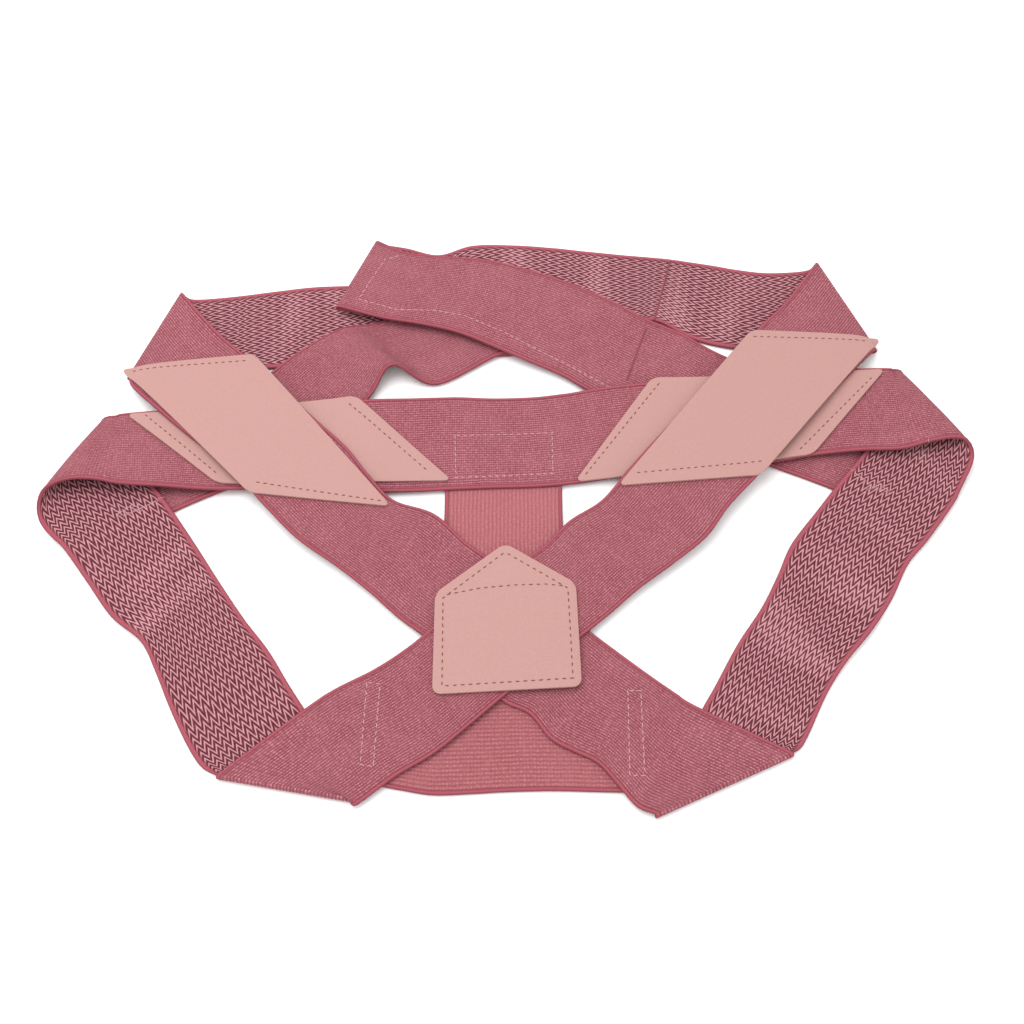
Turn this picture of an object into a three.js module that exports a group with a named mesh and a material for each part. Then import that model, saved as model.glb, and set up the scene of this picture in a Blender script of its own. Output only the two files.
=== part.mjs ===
// Posture corrector laid flat, seen from its back: an X of webbing over two shoulder straps and a
// belt, with five leatherette patches. Millimetres, X across, Y from nape (-) to waist (+), Z up.
import * as THREE from "three";

// Overall spread of the laid-out harness
const SPAN = 604; // across the two arm turns
const DEPTH = 414; // nape fold to the top corner of the belt tab

// Webbing and patches
const WEBBING_WIDTH = 65;
const WEBBING_THICKNESS = 1.8;
const WIDE_WEBBING_WIDTH = 75; // spine strap and nape band
const PATCH_THICKNESS = 1.6;
const PATCH_CORNER_RADIUS = 7;
const LAYER_GAP = 0.4; // air between stacked layers
const PATCH_GAP = 0.7; // air between a patch and the strap it lies on
const END_GAP = 0.5; // air between two pieces that meet end to end
const LAYER = WEBBING_THICKNESS + LAYER_GAP; // height of one layer in a stack

// Spine strap and nape band, placed from the middle of the spread
const SPINE_CENTRE_X = -0.009 * SPAN;
const SPINE_TOP_Y = 0.113 * DEPTH;
const SPINE_BOTTOM_Y = -0.278 * DEPTH;
const NAPE_LEFT_X = -0.139 * SPAN;
const NAPE_RIGHT_X = 0.127 * SPAN;
const NAPE_CENTRE_Y = -0.376 * DEPTH;

// Fineness of the faceted surfaces
const ROW_STEP = 14; // longest step between two rows along a strap
const STRIPS_ACROSS = 3;
const BEND_STEPS = 6; // rows round a fold
const PATCH_GRID = 8;

// The closed loop of the shoulder straps and the back band, from the crossing over the right
// shoulder fold, the right arm turn, the back band and the left side back to the crossing.
// x, y: centre of the strap as shares of SPAN and DEPTH. left, right: heights of its two
// selvedges in layers. A fold row also has outLeft and outRight, the heights after the fold,
// and skew, the extra turn of the fold line in degrees.
const LOOP = [
  { x: -0.005, y: -0.229, left: 1, right: 1 },
  { x: 0.04, y: -0.283, left: 1, right: 1 },
  { x: 0.108, y: -0.362, left: 1.3, right: 1.3 },
  { x: 0.205, y: -0.454, left: 2.2, right: 2.2, outLeft: 0, outRight: 0, skew: 5 },
  { x: 0.25, y: -0.324, left: 0, right: 0 },
  { x: 0.276, y: -0.261, left: 0.4, right: 1 },
  { x: 0.311, y: -0.196, left: 1.4, right: 0.2 },
  { x: 0.343, y: -0.128, left: 0, right: 0 },
  { x: 0.377, y: -0.053, left: 0.6, right: 1 },
  { x: 0.416, y: 0.01, left: 1, right: 1.2 },
  { x: 0.464, y: 0.143, left: 1.2, right: 1.2, outLeft: 7.5, outRight: 3.2, skew: 0 },
  { x: 0.412, y: 0.146, left: 3.8, right: 2.8 },
  { x: 0.372, y: 0.146, left: 2.8, right: 2.5 },
  { x: 0.315, y: 0.14, left: 2.1, right: 2.1 },
  { x: 0.232, y: 0.13, left: 1.6, right: 1.8 },
  { x: 0.132, y: 0.116, left: 1.2, right: 2.5 },
  { x: 0.066, y: 0.097, left: 1, right: 2.4 },
  { x: 0, y: 0.089, left: 1, right: 1 },
  { x: -0.066, y: 0.089, left: 1, right: 1 },
  { x: -0.146, y: 0.085, left: 1.2, right: 3 },
  { x: -0.232, y: 0.077, left: 1.5, right: 1.7 },
  { x: -0.315, y: 0.072, left: 2.1, right: 2.1 },
  { x: -0.372, y: 0.07, left: 2.8, right: 2.5 },
  { x: -0.412, y: 0.066, left: 3.8, right: 2.8 },
  { x: -0.467, y: 0.06, left: 7.5, right: 3.2, outLeft: 1.2, outRight: 1.2, skew: 0 },
  { x: -0.422, y: -0.048, left: 1.4, right: 1.4 },
  { x: -0.369, y: -0.147, left: 0.6, right: 0 },
  { x: -0.32, y: -0.217, left: 1.4, right: 0.6 },
  { x: -0.285, y: -0.297, left: 0, right: 0.2 },
  { x: -0.212, y: -0.464, left: 0, right: 0, outLeft: 2.2, outRight: 2.2, skew: 0 },
  { x: -0.132, y: -0.372, left: 1.4, right: 1.3 },
  { x: -0.063, y: -0.297, left: 2, right: 2 },
  { x: -0.005, y: -0.229, left: 2, right: 2 },
];
const LOOP_CUT_RIGHT_INDEX = 14.5; // under the lower right patch
const LOOP_CUT_LEFT_INDEX = 19.6; // under the lower left patch

// The lower cross strap: from the crossing up and left to the waist fold, right along the
// front, back on itself under the tab and down to the left arm turn.
const LOWER_CROSS = [
  { x: -0.005, y: -0.229, left: 1, right: 1 },
  { x: -0.06, y: -0.163, left: 1, right: 1 },
  { x: -0.111, y: -0.104, left: 1.8, right: 2.4 },
  { x: -0.161, y: -0.058, left: 3, right: 4 },
  { x: -0.215, y: 0.017, left: 4, right: 4 },
  { x: -0.281, y: 0.111, left: 4.7, right: 4.2 },
  { x: -0.348, y: 0.21, left: 4.8, right: 3.4 },
  { x: -0.409, y: 0.304, left: 2.8, right: 2.4, outLeft: 0, outRight: 0, skew: 0 },
  { x: -0.281, y: 0.312, left: 0, right: 0 },
  { x: -0.194, y: 0.321, left: 0, right: 0 },
  { x: -0.066, y: 0.333, left: 0, right: 0 },
  { x: 0.058, y: 0.343, left: 0, right: 0, outLeft: 1.3, outRight: 1.3, skew: 0 },
  { x: -0.022, y: 0.336, left: 1.1, right: 1.1 },
  { x: -0.075, y: 0.289, left: 0.5, right: 1.1 },
  { x: -0.132, y: 0.261, left: 6, right: 1.2 },
  { x: -0.19, y: 0.213, left: 0.3, right: 1.7 },
  { x: -0.273, y: 0.118, left: 0, right: 0.2 },
  { x: -0.356, y: 0.058, left: 0, right: 0 },
  { x: -0.391, y: 0.031, left: 0, right: 0 },
];

// The upper cross strap: from the crossing up and right to the waist fold, left along the
// front to the tab, back over itself and down to the right arm turn.
const UPPER_CROSS = [
  { x: -0.005, y: -0.229, left: 2, right: 2 },
  { x: 0.055, y: -0.1585, left: 2, right: 2 },
  { x: 0.121, y: -0.075, left: 3.2, right: 2.8 },
  { x: 0.152, y: -0.029, left: 4.2, right: 3.4 },
  { x: 0.187, y: 0.022, left: 4.2, right: 4.2 },
  { x: 0.265, y: 0.157, left: 4.2, right: 4.7 },
  { x: 0.331, y: 0.271, left: 3.4, right: 4.8 },
  { x: 0.389, y: 0.367, left: 2.4, right: 2.8, outLeft: 0, outRight: 0, skew: 4 },
  { x: 0.273, y: 0.35, left: 0, right: 0 },
  { x: 0.197, y: 0.37, left: 0, right: 0 },
  { x: 0.175, y: 0.382, left: 0.3, right: 0.3 },
  { x: 0.099, y: 0.389, left: 2.4, right: 2.4 },
  { x: 0, y: 0.403, left: 2.5, right: 2.5 },
  { x: -0.083, y: 0.396, left: 2.7, right: 2.8 },
  { x: -0.176, y: 0.413, left: 2.6, right: 2.8, outLeft: 4.2, outRight: 4.4, skew: 18 },
  { x: -0.071, y: 0.374, left: 3.9, right: 4 },
  { x: 0.017, y: 0.333, left: 3.6, right: 2.8 },
  { x: 0.07, y: 0.295, left: 3.6, right: 1.8 },
  { x: 0.132, y: 0.239, left: 2, right: 0.6 },
  { x: 0.209, y: 0.179, left: 0.6, right: 0 },
  { x: 0.331, y: 0.101, left: 0, right: 0 },
  { x: 0.368, y: 0.077, left: 0, right: 0 },
];
const TAB_SEAM_BELOW_INDEX = 10; // row where the tab's lower layer joins the belt
const TAB_SEAM_ABOVE_INDEX = 18; // row where its upper layer joins the belt

// Four-cornered patches: corner positions as shares of SPAN and DEPTH, in order round the patch
const PATCHES = {
  patch_upper_left: [
    { x: -0.276, y: -0.005 },
    { x: -0.127, y: -0.027 },
    { x: -0.291, y: 0.254 },
    { x: -0.427, y: 0.214 },
  ],
  patch_upper_right: [
    { x: 0.113, y: 0.01 },
    { x: 0.263, y: 0.027 },
    { x: 0.409, y: 0.277 },
    { x: 0.272, y: 0.302 },
  ],
  patch_lower_left: [
    { x: -0.311, y: 0.012 },
    { x: -0.065, y: 0.019 },
    { x: -0.172, y: 0.167 },
    { x: -0.416, y: 0.13 },
  ],
  patch_lower_right: [
    { x: 0.068, y: 0.017 },
    { x: 0.321, y: 0.065 },
    { x: 0.412, y: 0.217 },
    { x: 0.154, y: 0.203 },
  ],
};

// The five-cornered patch over the crossing
const CENTRE_PATCH = [
  { x: -0.078, y: -0.332 },
  { x: 0.066, y: -0.32 },
  { x: 0.066, y: -0.157 },
  { x: -0.005, y: -0.087 },
  { x: -0.076, y: -0.169 },
];
const CENTRE_PATCH_LAYER = 3.1;

// Materials
const faceOf = (color, roughness) =>
  new THREE.MeshStandardMaterial({ color, roughness, metalness: 0 });
const ROSE_WEBBING = () => faceOf(0xb07078, 0.85);
const CORAL_WEBBING = () => faceOf(0xc98a88, 0.85);
const LEATHERETTE = () => faceOf(0xdca8a0, 0.6);

const lerp = (a, b, t) => a + (b - a) * t;
const planOf = (p) => new THREE.Vector2(p.x * SPAN, p.y * DEPTH);
const quarterTurn = (v) => new THREE.Vector2(v.y, -v.x); // to the right of the travel
const heightOf = (layers) => WEBBING_THICKNESS / 2 + layers * LAYER;

// A row of a strap is its two selvedge points, left and right in the sense of the first travel
function rowAt(centre, across, leftLayers, rightLayers) {
  return {
    left: new THREE.Vector3(centre.x - across.x, centre.y - across.y, heightOf(leftLayers)),
    right: new THREE.Vector3(centre.x + across.x, centre.y + across.y, heightOf(rightLayers)),
  };
}

// The rows round a fold: half a turn about the fold line, from the heights before to those after
function bendRows(centre, across, outward, station) {
  const rows = [];
  for (let i = 0; i <= BEND_STEPS; i++) {
    const angle = (Math.PI * i) / BEND_STEPS;
    const swing = (before, after) => ({
      reach: (Math.abs(after - before) / 2) * LAYER * Math.sin(angle),
      layers: (before + after) / 2 + ((before - after) / 2) * Math.cos(angle),
    });
    const left = swing(station.left, station.outLeft);
    const right = swing(station.right, station.outRight);
    const row = rowAt(centre, across, left.layers, right.layers);
    row.left.x += outward.x * left.reach;
    row.left.y += outward.y * left.reach;
    row.right.x += outward.x * right.reach;
    row.right.y += outward.y * right.reach;
    rows.push(row);
  }
  return rows;
}

// The rows at the stations of a strap, leg by leg, each leg running from one fold to the next
function stationLegs(stations, width) {
  const at = stations.map(planOf);
  const legs = [[]];
  let turned = 1; // -1 where the strap lies on its other face
  stations.forEach((station, i) => {
    const into = at[i].clone().sub(at[Math.max(i - 1, 0)]).normalize();
    const out = at[Math.min(i + 1, at.length - 1)].clone().sub(at[i]).normalize();
    const leg = legs[legs.length - 1];
    if (station.outLeft === undefined) {
      const travel = into.clone().add(out).normalize();
      const across = quarterTurn(travel).multiplyScalar((turned * width) / 2);
      leg.push({ ...rowAt(at[i], across, station.left, station.right), station: i });
      return;
    }
    const outward = into.clone().sub(out).normalize();
    const line = quarterTurn(outward).rotateAround(
      new THREE.Vector2(),
      THREE.MathUtils.degToRad(station.skew),
    );
    if (line.dot(quarterTurn(into)) * turned < 0) line.negate();
    const half = width / 2 / Math.abs(into.cross(line));
    const rows = bendRows(at[i], line.multiplyScalar(half), outward, station);
    leg.push({ ...rows[0], station: i });
    legs.push(rows.map((row) => ({ ...row, station: i, bend: true })));
    legs.push([{ ...rows[BEND_STEPS], station: i }]);
    turned = -turned;
  });
  return legs;
}

// Slopes that keep a curve through the given values from overshooting them
function steadySlopes(values) {
  const step = values.slice(1).map((v, i) => v - values[i]);
  return values.map((_, i) => {
    if (i === 0) return step[0];
    if (i === step.length) return step[i - 1];
    const product = step[i - 1] * step[i];
    return product > 0 ? (2 * product) / (step[i - 1] + step[i]) : 0;
  });
}

// Smooth rows between the stations of one leg
function smoothLeg(leg) {
  if (leg[0].bend) return leg;
  const curve = (side, axis) => {
    const values = leg.map((row) => row[side][axis]);
    const slopes =
      axis === "z"
        ? steadySlopes(values)
        : values.map((_, i) => {
            const a = Math.max(i - 1, 0);
            const b = Math.min(i + 1, values.length - 1);
            return (values[b] - values[a]) / (b - a);
          });
    return (i, t) => {
      const rise = values[i + 1] - values[i];
      const bulge = t * (1 - t) * ((1 - t) * (slopes[i] - rise) - t * (slopes[i + 1] - rise));
      return values[i] + rise * t + bulge;
    };
  };
  const curves = ["left", "right"].map((side) => ["x", "y", "z"].map((axis) => curve(side, axis)));
  const rows = [];
  for (let i = 0; i + 1 < leg.length; i++) {
    const middle = (row) => row.left.clone().add(row.right).multiplyScalar(0.5);
    const count = Math.ceil(middle(leg[i]).distanceTo(middle(leg[i + 1])) / ROW_STEP);
    for (let k = 0; k < count; k++) {
      const point = (side) => new THREE.Vector3(...curves[side].map((c) => c(i, k / count)));
      const station = lerp(leg[i].station, leg[i + 1].station, k / count);
      rows.push({ left: point(0), right: point(1), station });
    }
  }
  rows.push(leg[leg.length - 1]);
  return rows;
}

const strapLegs = (stations, width) => stationLegs(stations, width).map(smoothLeg);

// The rows from one station to another, each end drawn in by half the gap to the next piece
function rowsBetween(legs, from, to) {
  const all = legs.flatMap((leg, i) => (leg[0].bend ? leg.slice(1, -1) : leg));
  const rows = all.filter((row) => row.station >= from && row.station <= to);
  const drawnIn = (row, next) => {
    const share = END_GAP / 2 / row.left.distanceTo(next.left);
    return {
      left: row.left.clone().lerp(next.left, share),
      right: row.right.clone().lerp(next.right, share),
    };
  };
  const first = drawnIn(rows[0], rows[1]);
  const last = drawnIn(rows[rows.length - 1], rows[rows.length - 2]);
  return [first, ...rows.slice(1, -1), last];
}

// A closed solid from two grids of points, the upper and the lower face
function solidBetween(upper, lower) {
  const rows = upper.length;
  const columns = upper[0].length;
  const positions = [...upper.flat(), ...lower.flat()].flatMap((p) => [p.x, p.y, p.z]);
  const top = (r, c) => r * columns + c;
  const bottom = (r, c) => rows * columns + top(r, c);
  const faces = [];
  const quad = (a, b, c, d) => faces.push(a, b, c, a, c, d);
  for (let r = 0; r + 1 < rows; r++) {
    for (let c = 0; c + 1 < columns; c++) {
      quad(top(r, c), top(r, c + 1), top(r + 1, c + 1), top(r + 1, c));
      quad(bottom(r, c), bottom(r + 1, c), bottom(r + 1, c + 1), bottom(r, c + 1));
    }
    const end = columns - 1;
    quad(top(r, 0), top(r + 1, 0), bottom(r + 1, 0), bottom(r, 0));
    quad(top(r, end), bottom(r, end), bottom(r + 1, end), top(r + 1, end));
  }
  for (let c = 0; c + 1 < columns; c++) {
    const end = rows - 1;
    quad(top(0, c), bottom(0, c), bottom(0, c + 1), top(0, c + 1));
    quad(top(end, c), top(end, c + 1), bottom(end, c + 1), bottom(end, c));
  }
  const geometry = new THREE.BufferGeometry();
  geometry.setAttribute("position", new THREE.Float32BufferAttribute(positions, 3));
  geometry.setIndex(faces);
  return geometry;
}

// A strap through its rows, thickened half to each face
function ribbon(rows) {
  const grid = rows.map((row) =>
    Array.from({ length: STRIPS_ACROSS + 1 }, (_, c) =>
      row.left.clone().lerp(row.right, c / STRIPS_ACROSS),
    ),
  );
  const shifted = (side) =>
    grid.map((line, r) =>
      line.map((point, c) => {
        const after = grid[Math.min(r + 1, grid.length - 1)][c];
        const before = grid[Math.max(r - 1, 0)][c];
        const across = line[STRIPS_ACROSS].clone().sub(line[0]);
        const normal = across.cross(after.clone().sub(before)).normalize();
        return point.clone().addScaledVector(normal, (side * WEBBING_THICKNESS) / 2);
      }),
    );
  return solidBetween(shifted(1), shifted(-1));
}

// The height of a leg's middle surface at a plan point
function surfaceHeight(leg, point) {
  const sideOf = (row) =>
    (row.right.x - row.left.x) * (point.y - row.left.y) -
    (row.right.y - row.left.y) * (point.x - row.left.x);
  let i = 0;
  while (i + 2 < leg.length && sideOf(leg[i + 1]) * sideOf(leg[0]) > 0) i++;
  const share = THREE.MathUtils.clamp(
    sideOf(leg[i]) / (sideOf(leg[i]) - sideOf(leg[i + 1])),
    0,
    1,
  );
  const left = leg[i].left.clone().lerp(leg[i + 1].left, share);
  const across = leg[i].right.clone().lerp(leg[i + 1].right, share).sub(left);
  const offset = (point.x - left.x) * across.x + (point.y - left.y) * across.y;
  return left.z + (across.z * offset) / (across.x ** 2 + across.y ** 2);
}

// A four-cornered patch with round corners, laid one layer above a leg of a strap
function drapedPatch(leg, corners) {
  const [a, b, c, d] = corners.map(planOf);
  const lengthwise = (a.distanceTo(d) + b.distanceTo(c)) / 2;
  const crosswise = (a.distanceTo(b) + c.distanceTo(d)) / 2;
  const end = PATCH_CORNER_RADIUS / lengthwise;
  const places = [0, end / 4, end];
  for (let i = 1; i < PATCH_GRID; i++) places.push(lerp(end, 1 - end, i / PATCH_GRID));
  places.push(1 - end, 1 - end / 4, 1);
  const faceAt = (rise) =>
    places.map((v) => {
      const fromEnd = Math.min(v, 1 - v, end) / end;
      const inset = (PATCH_CORNER_RADIUS / crosswise) * (1 - Math.sqrt(fromEnd * (2 - fromEnd)));
      return Array.from({ length: PATCH_GRID + 1 }, (_, k) => {
        const u = lerp(inset, 1 - inset, k / PATCH_GRID);
        const p = a.clone().lerp(b, u).lerp(d.clone().lerp(c, u), v);
        return new THREE.Vector3(p.x, p.y, surfaceHeight(leg, p) + rise);
      });
    });
  const under = WEBBING_THICKNESS / 2 + PATCH_GAP;
  return solidBetween(faceAt(under + PATCH_THICKNESS), faceAt(under));
}

// A flat many-cornered patch with round corners
function flatPatch(corners, layers) {
  const points = corners.map(planOf);
  const shape = new THREE.Shape();
  points.forEach((point, i) => {
    const before = points[(i + points.length - 1) % points.length];
    const after = points[(i + 1) % points.length];
    const towards = (other) =>
      point.clone().lerp(other, PATCH_CORNER_RADIUS / point.distanceTo(other));
    const start = towards(before);
    const end = towards(after);
    if (i === 0) shape.moveTo(start.x, start.y);
    else shape.lineTo(start.x, start.y);
    shape.quadraticCurveTo(point.x, point.y, end.x, end.y);
  });
  const geometry = new THREE.ExtrudeGeometry(shape, {
    depth: PATCH_THICKNESS,
    bevelEnabled: false,
    curveSegments: BEND_STEPS,
  });
  return geometry.translate(0, 0, layers * LAYER);
}

// A straight flat piece of the wide webbing, lying on the ground between two points
function flatStrap(fromX, fromY, toX, toY) {
  const start = new THREE.Vector2(fromX, fromY);
  const end = new THREE.Vector2(toX, toY);
  const across = quarterTurn(end.clone().sub(start).normalize());
  across.multiplyScalar(WIDE_WEBBING_WIDTH / 2);
  return ribbon([start, end].map((centre) => rowAt(centre, across, 0, 0)));
}

const harness = new THREE.Group();
harness.name = "posture_corrector";
function add(name, geometry, material) {
  const mesh = new THREE.Mesh(geometry, material);
  mesh.name = name;
  harness.add(mesh);
}

const loop = strapLegs(LOOP, WEBBING_WIDTH);
const lowerCross = strapLegs(LOWER_CROSS, WEBBING_WIDTH);
const upperCross = strapLegs(UPPER_CROSS, WEBBING_WIDTH);
const lastOf = (stations) => stations.length - 1;
const strap = (name, legs, from, to) =>
  add(name, ribbon(rowsBetween(legs, from, to)), ROSE_WEBBING());

strap("shoulder_strap_right", loop, 0, LOOP_CUT_RIGHT_INDEX);
strap("back_band", loop, LOOP_CUT_RIGHT_INDEX, LOOP_CUT_LEFT_INDEX);
strap("shoulder_strap_left", loop, LOOP_CUT_LEFT_INDEX, lastOf(LOOP));
strap("cross_strap_lower", lowerCross, 0, lastOf(LOWER_CROSS));
strap("cross_strap_upper", upperCross, 0, TAB_SEAM_BELOW_INDEX);
strap("front_tab", upperCross, TAB_SEAM_BELOW_INDEX, TAB_SEAM_ABOVE_INDEX);
strap("belt_strap_right", upperCross, TAB_SEAM_ABOVE_INDEX, lastOf(UPPER_CROSS));

add(
  "spine_strap",
  flatStrap(SPINE_CENTRE_X, SPINE_BOTTOM_Y, SPINE_CENTRE_X, SPINE_TOP_Y),
  CORAL_WEBBING(),
);
add(
  "nape_band",
  flatStrap(NAPE_LEFT_X, NAPE_CENTRE_Y, NAPE_RIGHT_X, NAPE_CENTRE_Y),
  CORAL_WEBBING(),
);

// The leg of each strap that carries a patch: the first of a cross strap, the back band's
const BACK_LEG = 4;
const patchLegs = {
  patch_upper_left: lowerCross[0],
  patch_upper_right: upperCross[0],
  patch_lower_left: loop[BACK_LEG],
  patch_lower_right: loop[BACK_LEG],
};
for (const [name, corners] of Object.entries(PATCHES))
  add(name, drapedPatch(patchLegs[name], corners), LEATHERETTE());
add("patch_centre", flatPatch(CENTRE_PATCH, CENTRE_PATCH_LAYER), LEATHERETTE());

// Origin at the bottom centre of the whole
const box = new THREE.Box3().setFromObject(harness);
const middle = box.getCenter(new THREE.Vector3());
for (const mesh of harness.children)
  mesh.geometry.translate(-middle.x, -middle.y, -box.min.z);

export default harness;
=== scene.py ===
"""Posture corrector of elastic webbing with leatherette patches, laid flat with its back up.

Metres, X across, Y from the nape (-) to the waist (+), Z up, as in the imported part. Each strap
is one ribbon of woven elastic: its ribbed face shows along the back, its zigzag face wherever a
fold has turned it over.
"""

import math
import random
from collections import namedtuple

import bmesh
import bpy
from mathutils import Matrix, Vector
from mathutils.bvhtree import BVHTree


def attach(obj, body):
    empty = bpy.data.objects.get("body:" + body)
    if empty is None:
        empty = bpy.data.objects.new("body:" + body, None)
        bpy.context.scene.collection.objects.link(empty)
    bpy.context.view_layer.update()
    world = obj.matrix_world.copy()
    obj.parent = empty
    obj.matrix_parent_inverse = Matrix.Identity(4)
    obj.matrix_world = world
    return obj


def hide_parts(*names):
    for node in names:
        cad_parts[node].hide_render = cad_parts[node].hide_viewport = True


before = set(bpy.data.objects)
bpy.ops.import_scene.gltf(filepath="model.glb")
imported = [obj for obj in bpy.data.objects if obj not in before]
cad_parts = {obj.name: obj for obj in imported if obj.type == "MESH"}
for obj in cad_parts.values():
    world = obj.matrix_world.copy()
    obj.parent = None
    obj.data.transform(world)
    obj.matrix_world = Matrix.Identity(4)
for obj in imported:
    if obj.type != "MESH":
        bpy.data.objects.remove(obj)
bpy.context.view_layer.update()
random.seed(11)

MM = 0.001
FOLD_COLUMNS = 9  # a row of a strap's table with this many columns is a fold

# Spread of the laid-out harness, and where its middle lies
SPAN = 0.604
DEPTH = 0.414
MIDDLE_X = 0.00011
MIDDLE_Y = 0.00019

# Webbing
WIDTH = 0.065
THICKNESS = 0.0018
BEAD_THICKNESS = 0.0024
LAYER = 0.0022  # height of one layer in a stack
WIDE_WIDTH = 0.075
NAPE_WIDTH = 0.068
ROW_STEP = 0.003
BEND_STEPS = 12
PRESSED_BEAD = 0.6  # share of the bead's thickness left in a fold
BOW_FADE = 0.035  # how far along a strap the bow of a fold is felt

# Distance from a selvedge and share of the bead's thickness there
SELVEDGE_PROFILE = [
    (0.0, 0.3),
    (0.0003, 0.7),
    (0.0009, 0.95),
    (0.0017, 1.0),
    (0.0026, 0.9),
    (0.0033, 0.55),
    (0.0041, 0.7),
    (0.0055, 0.75),
]
INNER_COLUMNS = 12

# Wide webbing down the spine: its two ends as shares of the spread
SPINE_ENDS = [(-0.009, -0.278), (-0.009, 0.113)]

# Patches
PATCH_THICKNESS = 0.0016
PATCH_LIFT = 0.0003
PATCH_RADIUS = 0.005
CORNER_SEGMENTS = 6
PATCH_ROUNDING = 0.0004
PATCH_MESH = 0.004
CENTRE_PATCH_LAYERS = 3.1
OVERHANG = 0.05  # how far past a selvedge a patch follows its strap, as a share of the width

# An open turn: its rows, and the outward bow of its middle in millimetres
Turn = namedtuple("Turn", "rows bow")

# Rows of the two arm turns, in the order of travel: x, y, height of the left selvedge, then of the
# right one; x and y as shares of the spread, heights in layers
RIGHT_ARM_TURN = [
    (0.4756, 0.0054, 1.45, 0.3927, 0.1023, 1.14),
    (0.4838, 0.0255, 1.86, 0.4082, 0.148, 0.91),
    (0.4902, 0.0433, 2.77, 0.4196, 0.1834, 0.64),
    (0.4926, 0.0583, 4.05, 0.4274, 0.2066, 0.64),
    (0.4894, 0.0714, 5.32, 0.4313, 0.2175, 1.14),
    (0.481, 0.0806, 6.14, 0.4316, 0.2225, 1.91),
    (0.4659, 0.0809, 6.32, 0.4281, 0.223, 2.68),
    (0.4434, 0.0751, 5.86, 0.4222, 0.2228, 3.05),
]
LEFT_ARM_TURN = [
    (-0.4357, 0.0053, 7.09, -0.4299, 0.1334, 3.1),
    (-0.4581, 0.005, 7.5, -0.4374, 0.1325, 3.0),
    (-0.4743, -0.0008, 7.41, -0.4418, 0.1304, 2.77),
    (-0.4864, -0.0103, 6.77, -0.4442, 0.1282, 2.1),
    (-0.4925, -0.0226, 5.64, -0.4456, 0.1269, 1.3),
    (-0.4945, -0.0375, 4.23, -0.4445, 0.1235, 0.8),
    (-0.4923, -0.0526, 2.86, -0.4406, 0.1149, 0.8),
    (-0.4855, -0.0669, 1.86, -0.4261, 0.0891, 1.23),
    (-0.4761, -0.0802, 1.45, -0.4002, 0.0452, 1.27),
]

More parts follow.
